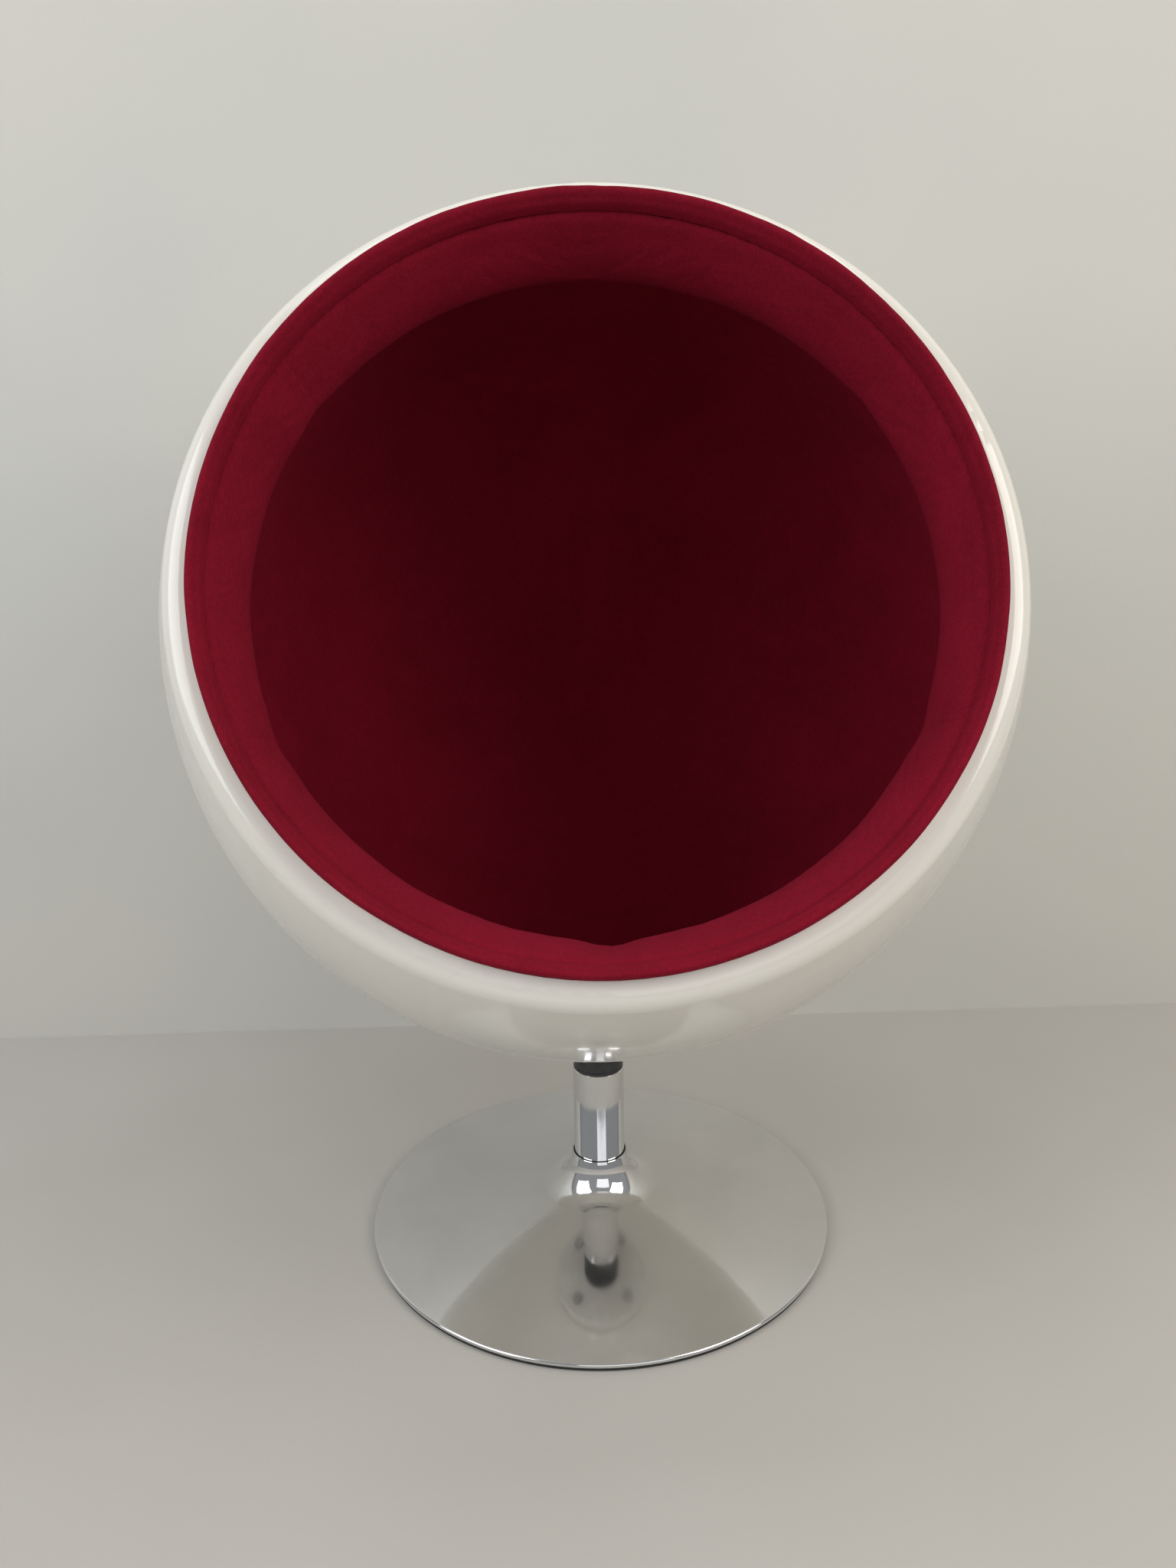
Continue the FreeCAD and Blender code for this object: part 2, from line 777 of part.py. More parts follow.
def pad_section(turn, pull):
    """Outline of a ring pad at an angle from the bottom of the mouth, drawn back by the seam's pull."""
    def place(radius, reach):
        angle = math.radians(turn)
        return FreeCAD.Vector(radius * math.sin(angle), -radius * math.cos(angle), reach)

    def bulge(first, last, radius):
        """Three-point arc that bends towards the pod's axis from first to last."""
        arc = arc_between(FreeCAD.Vector(*first), FreeCAD.Vector(*last), radius)
        middle = arc.value((arc.FirstParameter + arc.LastParameter) / 2)
        return Part.Arc(place(*first), place(middle.x, middle.y), place(*last)).toShape()

    gap = c.seat_gap.value
    front = (crease_radius.value - gap, crease_reach.value)
    nose = (front[0] - c.pad_overhang.value + pull, nose_reach.value)
    lean = front[0] - nose[0]
    face = (lean * lean + c.pad_depth.value ** 2) / (2 * lean)
    back = (nose[0] + c.pad_nose.value, pad_back.value)
    foot = tack_foot.value - gap
    side = shell_side + c.seat_gap
    wall_back = (skin(pad_back, side).value, pad_back.value)
    wall_foot = (skin(tack_foot - c.seat_gap, side).value, foot)
    band_foot = (crease_radius.value - c.band_taper.value - gap, foot)
    edges = [
        bulge(front, nose, face),
        bulge(nose, back, c.pad_nose.value),
        Part.LineSegment(place(*back), place(*wall_back)).toShape(),
        bulge(wall_back, wall_foot, (c.pod_bow - side).value),
        Part.LineSegment(place(*wall_foot), place(*band_foot)).toShape(),
        Part.LineSegment(place(*band_foot), place(*front)).toShape(),
    ]
    return Part.Wire(edges)


def ring_pad(label, first, last):
    """Padded panel between two seams: full along its length, drawn in where it is sewn at its ends."""
    gap = math.degrees(c.seat_gap.value / mouth_radius.value) / 2
    ends = (first + gap, last - gap)
    easing = [(0, 1), (2, 0.6), (6, 0.2), (13, 0)]
    middle = (ends[0] + ends[1]) / 2
    stations = [(ends[0] + step, share) for step, share in easing]
    stations.append((middle, 0))
    stations += [(ends[1] - step, share) for step, share in reversed(easing)]
    sections = [pad_section(turn, share * c.seam_pull.value) for turn, share in stations]
    pad_feature = doc.addObject("Part::Feature", label)
    pad_feature.Label = label
    pad_feature.Shape = Part.makeLoft(sections, True, False)
    tilt = FreeCAD.Rotation(FreeCAD.Vector(1, 0, 0), 90 - c.pod_tilt.value)
    pad_feature.Placement = FreeCAD.Placement(FreeCAD.Vector(0, 0, pod_height.value), tilt)
    parts.append(pad_feature)


def ring_pads():
    low = c.seam_low.value
    high = c.seam_high.value
    seams = [0, low, high, 180, 360 - high, 360 - low, 360]
    for number, (first, last) in enumerate(zip(seams, seams[1:]), start=1):
        ring_pad(f"ring_pad_{number}", first, last)


# Assembly

collar_bore, collar_top = trumpet_base()
floor_ring()
base_plates()
column(collar_bore, collar_top)
column_fasteners()
bushes()
thrust_bearing()
spindle()
dust_cover()
swivel_plate()
saddle()
shell()
bolt_top = pod_fasteners(backing_plate())
seat_foam(bolt_top)
seat_cover()
tack_ring()
front_band()
ring_pads()
doc.recompute()

for item in doc.Objects:
    if "Invalid" in item.State or "Error" in item.State:
        raise ValueError(f"{item.Label} failed: {item.State}")
for item in parts:
    if item.Shape.isNull() or not item.Shape.isValid() or not item.Shape.Solids:
        raise ValueError(f"{item.Label} has no valid solid")

os.makedirs("parts", exist_ok=True)
for item in parts:
    item.Shape.exportStep(f"parts/{item.Label}.step")
    print(item.Label, len(item.Shape.Solids), "solids", round(item.Shape.Volume / 1000, 1), "cm3")
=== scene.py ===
import json
import math

import bmesh
import bpy
from mathutils import Matrix, Vector, noise


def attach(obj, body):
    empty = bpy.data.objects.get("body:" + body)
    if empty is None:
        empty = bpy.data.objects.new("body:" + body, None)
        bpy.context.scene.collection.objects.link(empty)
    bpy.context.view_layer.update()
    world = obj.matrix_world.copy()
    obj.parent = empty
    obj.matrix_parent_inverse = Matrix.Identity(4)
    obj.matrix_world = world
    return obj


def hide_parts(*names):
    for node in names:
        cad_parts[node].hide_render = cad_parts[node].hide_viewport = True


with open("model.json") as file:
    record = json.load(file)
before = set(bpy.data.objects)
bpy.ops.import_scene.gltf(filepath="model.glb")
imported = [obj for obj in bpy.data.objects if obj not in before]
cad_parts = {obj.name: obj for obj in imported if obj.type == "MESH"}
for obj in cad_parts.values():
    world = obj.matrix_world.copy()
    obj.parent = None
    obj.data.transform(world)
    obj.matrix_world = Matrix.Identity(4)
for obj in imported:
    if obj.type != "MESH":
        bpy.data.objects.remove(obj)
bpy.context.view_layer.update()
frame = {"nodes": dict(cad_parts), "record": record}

# The pod's own frame: a turn runs round the mouth from its bottom, a reach forward along the pod's axis

POD_CENTRE = Vector((0, 0, 0.695))
TILT = math.radians(27)
FORWARD = Vector((0, -math.cos(TILT), math.sin(TILT)))
UPWARD = Vector((0, math.sin(TILT), math.cos(TILT)))
POD_RADIUS = 0.430
BOW_RADIUS = 0.682
BOW_CENTRE = BOW_RADIUS - POD_RADIUS
PAD_RADIUS = 0.32
PAD_VOXEL = 0.0038
PAD_SWELL = 0.006
BAND_RADIUS = 0.35
BAND_JOINT = math.radians(342)
CREASE_REACH = 0.261
TACK_FOOT = 0.2402
LINING_FRONT = 0.1727
LINING_DEPTH = 0.058
SHELL_DEPTH = 0.0068
SEAMS = (0, 65, 126, 180, 234, 295, 360)
CLOTH_FRAMES = 20
SEAM_LAP = 0.0125  # Radians by which a pad runs on past its seam
SEAM_DIPS = (0.0064, 0.0040, 0.0026, 0.0008, 0.0026, 0.0040, 0.0064)


def place(turn, radius, reach):
    across = Vector((math.sin(turn), 0, 0)) - UPWARD * math.cos(turn)
    return POD_CENTRE + across * radius + FORWARD * reach


def unplace(point):
    offset = point - POD_CENTRE
    reach = offset.dot(FORWARD)
    up = offset.dot(UPWARD)
    return math.atan2(offset.x, -up) % math.tau, math.hypot(offset.x, up), reach


def skin(reach, depth):
    """Radius of the surface that lies depth inside the shell, at a reach."""
    if reach > 0:
        return math.sqrt((BOW_RADIUS - depth) ** 2 - reach ** 2) - BOW_CENTRE
    return math.sqrt((POD_RADIUS - depth) ** 2 - reach ** 2)


def ease(low, high, value):
    share = min(max((value - low) / (high - low), 0), 1)
    return share * share * (3 - 2 * share)


def wander(point, size, seed):
    """Smooth noise from -1 to 1 that changes over about that size."""
    return noise.noise(point / size + Vector((seed * 17.3, seed * 5.1, seed * 9.7)))


def spline(corners, steps):
    """Closed smooth line through corners, with a number of steps between each two."""
    count = len(corners)
    line = []
    for index in range(count):
        before, start, end, after = (Vector(corners[(index + step - 1) % count]) for step in range(4))
        for step in range(steps):
            t = step / steps
            line.append((
                2 * start + (end - before) * t
                + (2 * before - 5 * start + 4 * end - after) * t * t
                + (3 * start - before - 3 * end + after) * t ** 3
            ) / 2)
    return line


def loft(name, rings, ring_closed=True, path_closed=False):
    """A skin over rings of points. An open path's ends are capped."""
    mesh = bmesh.new()
    rows = [[mesh.verts.new(point) for point in ring] for ring in rings]
    size = len(rows[0])
    pairs = list(zip(rows, rows[1:]))
    if path_closed:
        pairs.append((rows[-1], rows[0]))
    for row, following in pairs:
        for index in range(size if ring_closed else size - 1):
            after = (index + 1) % size
            mesh.faces.new((row[index], row[after], following[after], following[index]))
    if ring_closed and not path_closed:
        mesh.faces.new(rows[0])
        mesh.faces.new(rows[-1])
    bmesh.ops.remove_doubles(mesh, verts=mesh.verts, dist=1e-7)
    bmesh.ops.recalc_face_normals(mesh, faces=mesh.faces)
    data = bpy.data.meshes.new(name)
    mesh.to_mesh(data)
    mesh.free()
    piece = bpy.data.objects.new(name, data)
    bpy.context.collection.objects.link(piece)
    return piece


def bake(piece):
    """Replace a piece's mesh by what its modifiers make of it."""
    depsgraph = bpy.context.evaluated_depsgraph_get()
    depsgraph.update()
    shaped = bpy.data.meshes.new_from_object(piece.evaluated_get(depsgraph))
    piece.modifiers.clear()
    old = piece.data
    piece.data = shaped
    bpy.data.meshes.remove(old)


def remesh(piece, voxel):
    modifier = piece.modifiers.new("remesh", "REMESH")
    modifier.mode = "VOXEL"
    modifier.voxel_size = voxel
    bake(piece)


def swell(piece, looseness, cap):
    """Fill a stuffed piece under pressure. Points with no looseness are sewn or glued down."""
    start = [vertex.co.copy() for vertex in piece.data.vertices]
    group = piece.vertex_groups.new(name="sewn")
    for vertex in piece.data.vertices:
        group.add([vertex.index], 1 - looseness(vertex.co), "REPLACE")
    cloth = piece.modifiers.new("cloth", "CLOTH")
    cloth.settings.vertex_group_mass = "sewn"
    cloth.settings.quality = 5
    cloth.settings.tension_stiffness = 8
    cloth.settings.compression_stiffness = 8
    cloth.settings.bending_stiffness = 0.3
    cloth.settings.use_pressure = True
    cloth.settings.uniform_pressure_force = 4
    cloth.settings.effector_weights.gravity = 0
    cloth.collision_settings.use_collision = False
    cloth.point_cache.frame_start = 1
    cloth.point_cache.frame_end = CLOTH_FRAMES
    for number in range(1, CLOTH_FRAMES + 1):
        bpy.context.scene.frame_set(number)
    bake(piece)
    bpy.context.scene.frame_set(1)
    for vertex, first in zip(piece.data.vertices, start):
        moved = vertex.co - first
        if moved.length > cap:
            vertex.co = first + moved * (cap / moved.length)
    piece.vertex_groups.clear()


def displace(piece, height):
    """Move each point along its normal by a height in metres."""
    normals = [vertex.normal.copy() for vertex in piece.data.vertices]
    for vertex, normal in zip(piece.data.vertices, normals):
        vertex.co += normal * height(vertex.co)


def smooth(piece, levels=1):
    if levels:
        modifier = piece.modifiers.new("subdivision", "SUBSURF")
        modifier.levels = levels
        modifier.render_levels = levels
        bake(piece)
    for polygon in piece.data.polygons:
        polygon.use_smooth = True


# Materials


class Look:
    """A material with its node tree and the coordinates of the object's own frame."""

    def __init__(self, name, color, roughness, metallic=0.0, **sockets):
        self.material = bpy.data.materials.new(name)
        self.material.use_nodes = True
        self.tree = self.material.node_tree
        self.shader = self.tree.nodes["Principled BSDF"]
        self.shader.inputs["Base Color"].default_value = (*color, 1)
        self.shader.inputs["Roughness"].default_value = roughness
        self.shader.inputs["Metallic"].default_value = metallic
        for socket, value in sockets.items():
            self.shader.inputs[socket.replace("_", " ")].default_value = value
        self.where = self.tree.nodes.new("ShaderNodeTexCoord").outputs["Object"]

    def node(self, kind, inputs=None, **settings):
        made = self.tree.nodes.new(kind)
        for name, value in settings.items():
            setattr(made, name, value)
        for name, value in (inputs or {}).items():
            self.plug(made.inputs[name], value)
        return made

    def plug(self, socket, value):
        if isinstance(value, bpy.types.NodeSocket):
            self.tree.links.new(value, socket)
        else:
            socket.default_value = value

    def noise(self, scale, detail=3.0, roughness=0.6, stretch=None, distortion=0.0):
        where = self.where
        if stretch:
            where = self.node("ShaderNodeMapping", {"Vector": where, "Scale": stretch}).outputs[0]
        return self.node("ShaderNodeTexNoise", {
            "Vector": where, "Scale": scale, "Detail": detail, "Roughness": roughness,
            "Distortion": distortion,
        }).outputs["Fac"]

    def cells(self, scale, feature="F1"):
        inputs = {"Vector": self.where, "Scale": scale}
        return self.node("ShaderNodeTexVoronoi", inputs, feature=feature).outputs["Distance"]

    def ramp(self, value, *stops):
        """A value mapped through stops, each a position and a grey level or colour."""
        node = self.node("ShaderNodeValToRGB", {"Fac": value})
        elements = node.color_ramp.elements
        while len(elements) < len(stops):
            elements.new(0.5)
        for element, (position, color) in zip(elements, stops):
            element.position = position
            element.color = (color, color, color, 1) if isinstance(color, (int, float)) else (*color, 1)
        return node.outputs["Color"]

    def math(self, operation, first, second=0.0):
        node = self.node("ShaderNodeMath", operation=operation)
        self.plug(node.inputs[0], first)
        self.plug(node.inputs[1], second)
        return node.outputs[0]

    def mix(self, share, first, second, blend="MIX"):
        node = self.node("ShaderNodeMix", data_type="RGBA", blend_type=blend)
        self.plug(node.inputs[0], share)
        self.plug(node.inputs[6], first if not isinstance(first, tuple) else (*first, 1))
        self.plug(node.inputs[7], second if not isinstance(second, tuple) else (*second, 1))
        return node.outputs[2]

    def color(self, value):
        self.plug(self.shader.inputs["Base Color"], value)

    def roughness(self, value):
        self.plug(self.shader.inputs["Roughness"], value)

    def bump(self, *layers):
        """Stack bumps, each a height value, its strength and its depth in metres."""
        normal = None
        for height, strength, depth in layers:
            node = self.node("ShaderNodeBump", {"Height": height, "Strength": strength, "Distance": depth})
            if normal:
                self.plug(node.inputs["Normal"], normal)
            normal = node.outputs["Normal"]
        self.plug(self.shader.inputs["Normal"], normal)


def red_felt():
    look = Look("red_felt", (0.25, 0.006, 0.022), 0.92, Sheen_Weight=0.12, Sheen_Roughness=0.45,
                Sheen_Tint=(0.80, 0.05, 0.14, 1), Specular_IOR_Level=0.12)
    brushed = look.noise(7, 4, 0.55, distortion=0.8)
    patches = look.noise(38, 3, 0.6)
    fibres = look.noise(650, 4, 0.75, stretch=(1, 1, 0.35))
    strands = look.noise(820, 3, 0.8, stretch=(0.3, 1, 1))
    deep = look.mix(look.ramp(brushed, (0.3, 0), (0.72, 1)), (0.215, 0.0048, 0.018), (0.275, 0.0065, 0.025))
    worn = look.mix(look.ramp(patches, (0.35, 0), (0.8, 0.35)), deep, (0.31, 0.009, 0.031))
    pile = look.noise(360, 3, 0.7, stretch=(1, 0.6, 0.6))
    tufted = look.mix(look.ramp(pile, (0.45, 0), (0.85, 0.6)), worn, (0.6, 0.6, 0.62), "MULTIPLY")
    nap = look.mix(look.ramp(fibres, (0.35, 0), (0.75, 0.8)), tufted, (0.6, 0.6, 0.6), "MULTIPLY")
    lint = look.ramp(look.cells(210), (0.0, 0.5), (0.035, 0))
    look.color(look.mix(look.math("MULTIPLY", lint, look.ramp(patches, (0.5, 0), (0.62, 1))), nap,
                        (0.42, 0.12, 0.14)))
    look.roughness(look.ramp(strands, (0.2, 0.86), (0.8, 0.98)))
    look.bump((pile, 0.6, 0.0013), (fibres, 0.6, 0.0009), (strands, 0.35, 0.0006), (patches, 0.2, 0.0012))
    return look.material


def gelcoat():
    look = Look("white_gelcoat", (0.84, 0.81, 0.755), 0.16, Coat_Weight=0.5, Coat_Roughness=0.05,
                Specular_IOR_Level=0.5)
    aged = look.noise(2.6, 3, 0.5)
    stains = look.noise(19, 4, 0.65, distortion=1.2)
    fine = look.noise(260, 3, 0.6)
    warm = look.mix(look.ramp(aged, (0.35, 0), (0.75, 1)), (0.85, 0.825, 0.77), (0.82, 0.785, 0.71))
    stained = look.mix(look.ramp(stains, (0.62, 0), (0.86, 0.5)), warm, (0.72, 0.65, 0.50))
    specks = look.ramp(look.cells(26), (0.012, 1), (0.03, 0))
    sparse = look.ramp(look.noise(3.3, 0, 0), (0.60, 0), (0.64, 1))
    look.color(look.mix(look.math("MULTIPLY", specks, sparse), stained, (0.10, 0.085, 0.07)))
    look.roughness(look.ramp(stains, (0.3, 0.12), (0.8, 0.24)))
    look.bump((look.noise(5.5, 2, 0.5), 0.2, 0.0015), (fine, 0.03, 0.0003))
    return look.material


def chrome():
    look = Look("chrome_plate", (0.80, 0.80, 0.81), 0.06, 1.0)
    haze = look.noise(11, 4, 0.6)
    scuffs = look.noise(90, 4, 0.7, stretch=(1, 1, 6))
    tone = look.mix(look.ramp(haze, (0.3, 0), (0.8, 1)), (0.82, 0.82, 0.83), (0.74, 0.745, 0.75))
    dust = look.ramp(look.cells(330), (0.0, 0.55), (0.05, 0))
    look.color(look.mix(dust, tone, (0.5, 0.48, 0.45)))
    smears = look.ramp(haze, (0.35, 0.045), (0.8, 0.13))
    look.roughness(look.math("ADD", smears, look.ramp(scuffs, (0.62, 0), (0.8, 0.05))))
    look.bump((look.noise(14, 2, 0.5), 0.06, 0.0012), (scuffs, 0.02, 0.0002))
    return look.material


def bare_steel(name, color, roughness):
    look = Look(name, color, roughness, 1.0)
    turned = look.noise(240, 4, 0.7, stretch=(1, 1, 9))
    grime = look.noise(60, 3, 0.6)
    dirty = tuple(0.45 * part for part in color)
    look.color(look.mix(look.ramp(grime, (0.45, 0), (0.8, 0.5)), color, dirty))
    look.roughness(look.ramp(turned, (0.2, roughness - 0.07), (0.8, roughness + 0.12)))
    look.bump((turned, 0.15, 0.0002))
    return look.material


def dull_finish(name, color, roughness, grain, depth, metallic=0.0):
    """Painted, cast or moulded surface with a grain and dust."""
    look = Look(name, color, roughness, metallic)
    pebbles = look.noise(grain, 4, 0.6)
    dust = look.noise(24, 4, 0.7)
    pale = tuple(min(part * 1.6 + 0.035, 1) for part in color)
    look.color(look.mix(look.ramp(dust, (0.5, 0), (0.85, 0.7)), color, pale))
    look.roughness(look.ramp(dust, (0.3, roughness - 0.06), (0.8, roughness + 0.14)))
    look.bump((pebbles, 0.4, depth), (dust, 0.1, 0.0004))
    return look.material


def plywood():
    look = Look("plywood", (0.55, 0.38, 0.22), 0.7)
    grain = look.noise(34, 5, 0.65, stretch=(0.25, 1, 1), distortion=1.5)
    pores = look.noise(420, 3, 0.7, stretch=(0.15, 1, 1))
    plies = look.node("ShaderNodeTexWave", {"Vector": look.where, "Scale": 210, "Distortion": 1.5},
                      bands_direction="Z").outputs["Fac"]
    tone = look.mix(look.ramp(grain, (0.3, 0), (0.7, 1)), (0.42, 0.27, 0.14), (0.62, 0.45, 0.27))
    look.color(look.mix(look.ramp(plies, (0.4, 0), (0.6, 0.35)), tone, (0.30, 0.18, 0.09)))
    look.roughness(look.ramp(pores, (0.3, 0.6), (0.8, 0.85)))
    look.bump((pores, 0.35, 0.0003), (grain, 0.2, 0.0005))
    return look.material


def stage_finish(name, low, high, grain, one_sided=False):
    look = Look(name, low, 0.9, Specular_IOR_Level=0.2)
    tone = look.noise(1.1, 3, 0.55)
    look.color(look.mix(look.ramp(tone, (0.3, 0), (0.75, 1)), low, high))
    look.bump((look.noise(grain, 4, 0.7), 0.2, 0.001))
    if one_sided:
        output = look.tree.nodes["Material Output"]
        back = look.node("ShaderNodeNewGeometry").outputs["Backfacing"]
        clear = look.node("ShaderNodeBsdfTransparent").outputs[0]
        mixed = look.node("ShaderNodeMixShader", {0: back, 1: look.shader.outputs[0], 2: clear})
        look.plug(output.inputs["Surface"], mixed.outputs[0])
    return look.material


felt = red_felt()
looks = {
    "white_moulding": gelcoat(),
    "chrome": chrome(),
    "floor_rubber": dull_finish("floor_rubber", (0.022, 0.022, 0.023), 0.72, 520, 0.0004),
    "base_felt": dull_finish("base_felt", (0.06, 0.06, 0.062), 0.95, 700, 0.0012),
    "plate_white": dull_finish("plate_white", (0.74, 0.715, 0.655), 0.35, 310, 0.0003),
    "plate_steel": dull_finish("plate_paint", (0.045, 0.045, 0.05), 0.42, 310, 0.0003),
    "ballast_iron": dull_finish("ballast_iron", (0.11, 0.105, 0.10), 0.68, 190, 0.0011, metallic=0.6),
    "screw_steel": bare_steel("zinc_screws", (0.62, 0.62, 0.60), 0.34),
    "bearing_steel": bare_steel("ground_steel", (0.66, 0.66, 0.67), 0.2),
    "black_nylon": dull_finish("black_nylon", (0.018, 0.018, 0.02), 0.38, 420, 0.0003),
    "plywood": plywood(),
    "red_felt": felt,
    "seat_foam": dull_finish("seat_foam", (0.78, 0.70, 0.48), 0.95, 800, 0.0012),
}
node_slots = {part["node"]: part["material_slot"] for part in frame["record"]["subparts"]}
for name, cad_piece in frame["nodes"].items():
    for slot in cad_piece.material_slots:
        slot.link = "OBJECT"
        slot.material = looks[node_slots[name]]


# Upholstery


def dress(piece, nodes):
    piece.data.materials.clear()
    piece.data.materials.append(felt)
    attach(piece, "pod")
    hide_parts(*nodes)


def seam_distance(turn):
    """Distance along the ring from the nearest sewn end of a pad."""
    return min(abs(turn - math.radians(seam)) for seam in SEAMS) * PAD_RADIUS


def crease_reach(turn):
    """Reach of the sewn crease between the pads and the band, which climbs a little at the top."""
    return CREASE_REACH + 0.004 * ease(math.radians(100), math.radians(170), min(turn, math.tau - turn))


def pad_ring(turn):
    """Section of a ring pad: full between its seams and drawn towards the shell at them."""
    drawn = 0
    for seam, depth in zip(SEAMS, SEAM_DIPS):
        away = abs(turn - math.radians(seam)) * PAD_RADIUS
        drawn += depth * (math.exp(-(away / 0.021) ** 2) - 0.14 * math.exp(-(away / 0.006) ** 2))
    crease = crease_reach(turn)
    corners = [
        (0.3480, crease + 0.0012),
        (0.3430, crease - 0.0016),
        (0.3376, crease - 0.0044),
        (0.3282 + 0.5 * drawn, 0.2400),
        (0.3206 + drawn, 0.2180),
        (0.3178 + drawn, 0.1985),
        (0.3212 + drawn, 0.1850 + 0.3 * drawn),
        (0.3320 + 0.5 * drawn, 0.1765 + 0.3 * drawn),
        (0.3560, 0.1745),
        (0.3975, 0.1760),
        (0.3970, 0.1860),
        (0.3870, 0.2150),
        (0.3790, 0.2350),
        (0.3730, 0.2400),
        (0.3500, 0.2400),
        (0.3430, 0.2425),
    ]
    return [place(turn, radius, reach) for radius, reach in spline(corners, 4)]


def ring_pad(number, first, last):
    first = math.radians(first) - SEAM_LAP
    last = math.radians(last) + SEAM_LAP
    steps = 56
    shares = [(1 - math.cos(math.pi * step / steps)) / 2 for step in range(steps + 1)]
    turns = [first + (last - first) * share for share in shares]
    pad = loft(f"ring_cushion_{number}", [pad_ring(turn) for turn in turns])
    remesh(pad, PAD_VOXEL)

    def looseness(point):
        turn, radius, reach = unplace(point)
        free = ease(0.350, 0.338, radius)
        from_crease = ease(0.004, 0.022, CREASE_REACH - reach)
        return free * from_crease * ease(0.002, 0.02, seam_distance(turn))

    swell(pad, looseness, PAD_SWELL)
    smooth(pad)

    def puckers(point):
        turn, radius, reach = unplace(point)
        if radius > 0.350:
            return 0
        gap = seam_distance(turn)
        along = Vector((0, 0, reach * 1000))
        folds = wander(along + Vector((turn * 40, 0, 0)), 9, 2) * math.exp(-gap / 0.012)
        sewn = math.exp(-(gap / 0.0028) ** 2)
        free = ease(0.002, 0.014, CREASE_REACH - reach)
        return free * (0.0009 * folds - 0.0004 * sewn + 0.0008 * wander(point, 0.055, 6))

    displace(pad, puckers)
    dress(pad, [f"ring_pad_{number}"])


def front_band():
    """Narrow padded strip between the lip and the crease, a little prouder at the top of the mouth."""
    rings = []
    count = 720
    for step in range(count):
        turn = math.tau * step / count
        high = ease(math.radians(95), math.radians(165), min(turn, math.tau - turn))
        along = Vector((math.cos(turn), math.sin(turn), 0)) * BAND_RADIUS
        wave = 0.0007 * wander(along, 0.045, 3) + 0.0004 * wander(along, 0.012, 4)
        out = 0.0006 * wander(along, 0.06, 5) + 0.0012 * high
        pinch = 0.0009 * math.exp(-abs(turn - BAND_JOINT) * BAND_RADIUS / 0.0025)
        crown = 0.2795 + 0.006 * high + wave - pinch
        crease = crease_reach(turn)
        corners = [
            (0.3409, TACK_FOOT),
            (0.3480, TACK_FOOT),
            (0.3549, TACK_FOOT + 0.001),
            (0.3550, 0.2550),
            (0.3552 + out, 0.2640),
            (0.3557 + out, crown - 0.0065),
            (0.3545 + out, crown - 0.0015),
            (0.3518 + out, crown),
            (0.3487 + out * 0.6, crown - 0.0016),
            (0.3459 + out * 0.4, crown - 0.0060),
            (0.3438, 0.5 * crown + 0.5 * crease),
            (0.3424, crease + 0.0024),
            (0.3431, crease + 0.0006),
            (0.3453, crease - 0.0004),
        ]
        rings.append([place(turn, radius, reach) for radius, reach in spline(corners, 4)])
    band = loft("front_band_padding", rings, path_closed=True)
    smooth(band, 0)
    dress(band, ["front_band"])


def seat_lining():
    """Upholstered bowl: felt over moulded foam, turned in behind the ring cushions."""
    inner = POD_RADIUS - LINING_DEPTH
    outer = POD_RADIUS - SHELL_DEPTH
    straight = LINING_FRONT - 0.010
    section = []
    for step in range(1, 61):
        angle = math.pi / 2 * step / 60
        section.append((inner * math.sin(angle), -inner * math.cos(angle)))
    for step in range(1, 22):
        reach = straight * step / 21
        section.append((skin(reach, LINING_DEPTH), reach))
    edge = skin(straight, LINING_DEPTH)
    section += [(edge + 0.003, LINING_FRONT - 0.003), (edge + 0.012, LINING_FRONT)]
    section.append((skin(LINING_FRONT, SHELL_DEPTH) - 0.004, LINING_FRONT))
    section.append((skin(LINING_FRONT - 0.004, SHELL_DEPTH), LINING_FRONT - 0.004))
    for step in range(20, -1, -1):
        reach = straight * step / 21
        section.append((skin(reach, SHELL_DEPTH), reach))
    for step in range(39, 0, -1):
        angle = math.pi / 2 * step / 40
        section.append((outer * math.sin(angle), -outer * math.cos(angle)))
    rings = []
    count = 240
    for step in range(count):
        turn = math.tau * step / count
        rings.append([place(turn, radius, reach) for radius, reach in section])
    lining = loft("seat_lining", rings, ring_closed=False, path_closed=True)
    mesh = bmesh.new()
    mesh.from_mesh(lining.data)
    bmesh.ops.holes_fill(mesh, edges=[edge for edge in mesh.edges if edge.is_boundary], sides=0)
    bmesh.ops.recalc_face_normals(mesh, faces=mesh.faces)
    mesh.to_mesh(lining.data)
    mesh.free()

    def slack(point):
        turn, radius, reach = unplace(point)
        if math.hypot(radius, min(reach, 0)) > 0.39 or radius > skin(max(reach, 0), 0.03):
            return 0
        return 0.0016 * wander(point, 0.16, 8) + 0.0007 * wander(point, 0.05, 9)

    displace(lining, slack)
    smooth(lining, 0)
    dress(lining, ["seat_foam", "seat_cover"])


for number, (first, last) in enumerate(zip(SEAMS, SEAMS[1:]), start=1):
    ring_pad(number, first, last)
front_band()
seat_lining()


# Stage, light and camera


def panel(name, corners, material):
    data = bpy.data.meshes.new(name)
    data.from_pydata(corners, [], [tuple(range(len(corners)))])
    piece = bpy.data.objects.new(name, data)
    bpy.context.collection.objects.link(piece)
    data.materials.append(material)


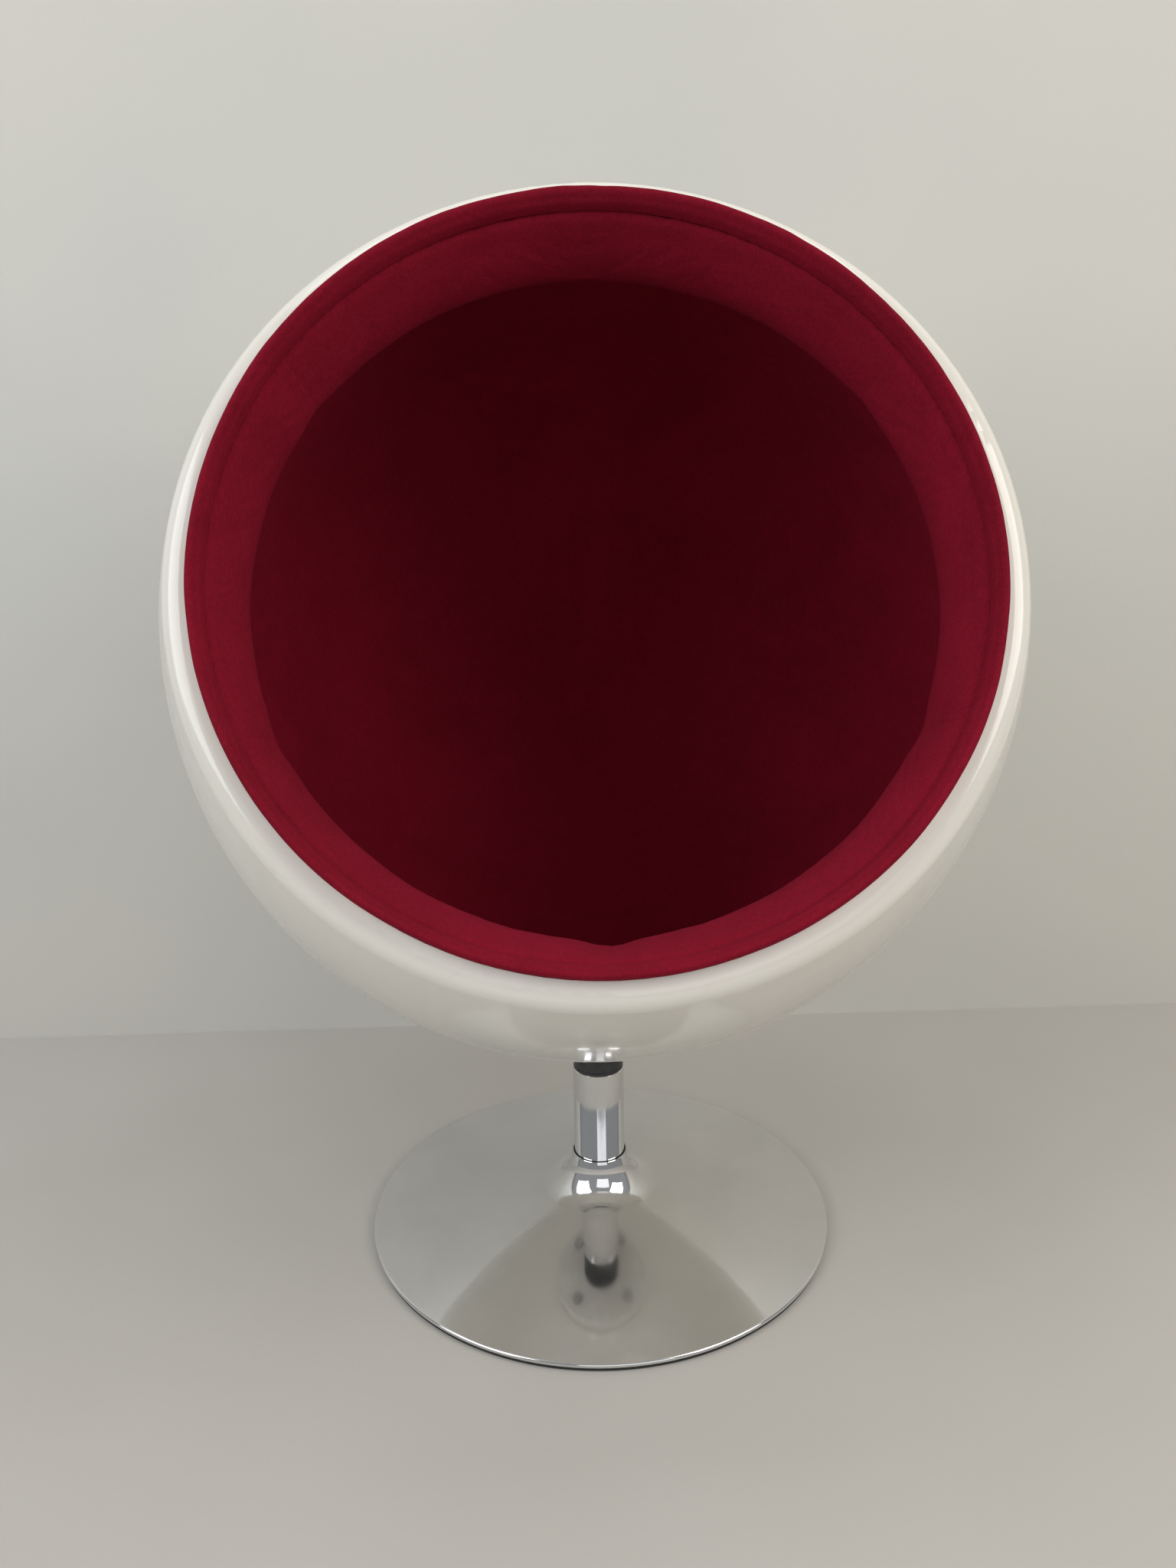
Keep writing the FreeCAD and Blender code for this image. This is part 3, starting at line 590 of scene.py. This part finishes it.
STAGE_REACH = 9
WALL_HEIGHT = 4
WALL_DISTANCE = 0.50
near, far = -STAGE_REACH, STAGE_REACH
panel("floor", [(near, near, 0), (far, near, 0), (far, far, 0), (near, far, 0)],
      stage_finish("floor_finish", (0.50, 0.48, 0.45), (0.56, 0.54, 0.51), 300))
panel("wall", [(near, WALL_DISTANCE, 0), (far, WALL_DISTANCE, 0),
               (far, WALL_DISTANCE, WALL_HEIGHT), (near, WALL_DISTANCE, WALL_HEIGHT)],
      stage_finish("wall_finish", (0.63, 0.63, 0.60), (0.71, 0.69, 0.64), 120, one_sided=True))


def softbox(name, at, towards, width, height, power, color):
    data = bpy.data.lights.new(name, "AREA")
    data.shape = "RECTANGLE"
    data.size = width
    data.size_y = height
    data.energy = power
    data.color = color
    lamp = bpy.data.objects.new(name, data)
    lamp.location = at
    lamp.rotation_euler = (Vector(towards) - Vector(at)).to_track_quat("-Z", "Y").to_euler()
    bpy.context.collection.objects.link(lamp)


softbox("key_light", (2.4, -1.6, 2.5), (0, 0, 0.6), 2.0, 2.0, 50, (1.0, 0.95, 0.88))
softbox("fill_light", (-2.5, -1.5, 2.2), (0, 0, 0.6), 2.2, 2.2, 46, (0.96, 0.98, 1.0))
softbox("top_light", (0, 0.3, 3.3), (0, 0, 0), 3.0, 1.6, 25, (1.0, 0.99, 0.97))
softbox("front_light", (0.5, -3.4, 1.7), (0, 0, 0.7), 2.6, 1.8, 13, (0.97, 0.98, 1.0))

world = bpy.data.worlds.new("studio")
world.use_nodes = True
bpy.context.scene.world = world
background = world.node_tree.nodes["Background"]
background.inputs["Color"].default_value = (0.80, 0.82, 0.82, 1)
background.inputs["Strength"].default_value = 0.36

FOCAL_PIXELS = 1662
PICTURE_HEIGHT = 2048
camera_data = bpy.data.cameras.new("camera")
camera_data.sensor_fit = "VERTICAL"
camera_data.sensor_height = 36
camera_data.lens = 36 * FOCAL_PIXELS / PICTURE_HEIGHT
camera = bpy.data.objects.new("camera", camera_data)
pitch = math.radians(16.76)
roll = math.radians(-0.96)
view = Vector((0.0290 * math.cos(pitch), 0.9996 * math.cos(pitch), -math.sin(pitch))).normalized()
level_right = view.cross(Vector((0, 0, 1))).normalized()
level_up = level_right.cross(view)
right = level_right * math.cos(roll) + level_up * math.sin(roll)
up = right.cross(view)
camera.matrix_world = Matrix.Translation((-0.0457, -1.3487, 0.9541)) @ Matrix(
    (right, up, -view)).transposed().to_4x4()
bpy.context.collection.objects.link(camera)
bpy.context.scene.camera = camera
bpy.context.scene.view_settings.view_transform = "Standard"
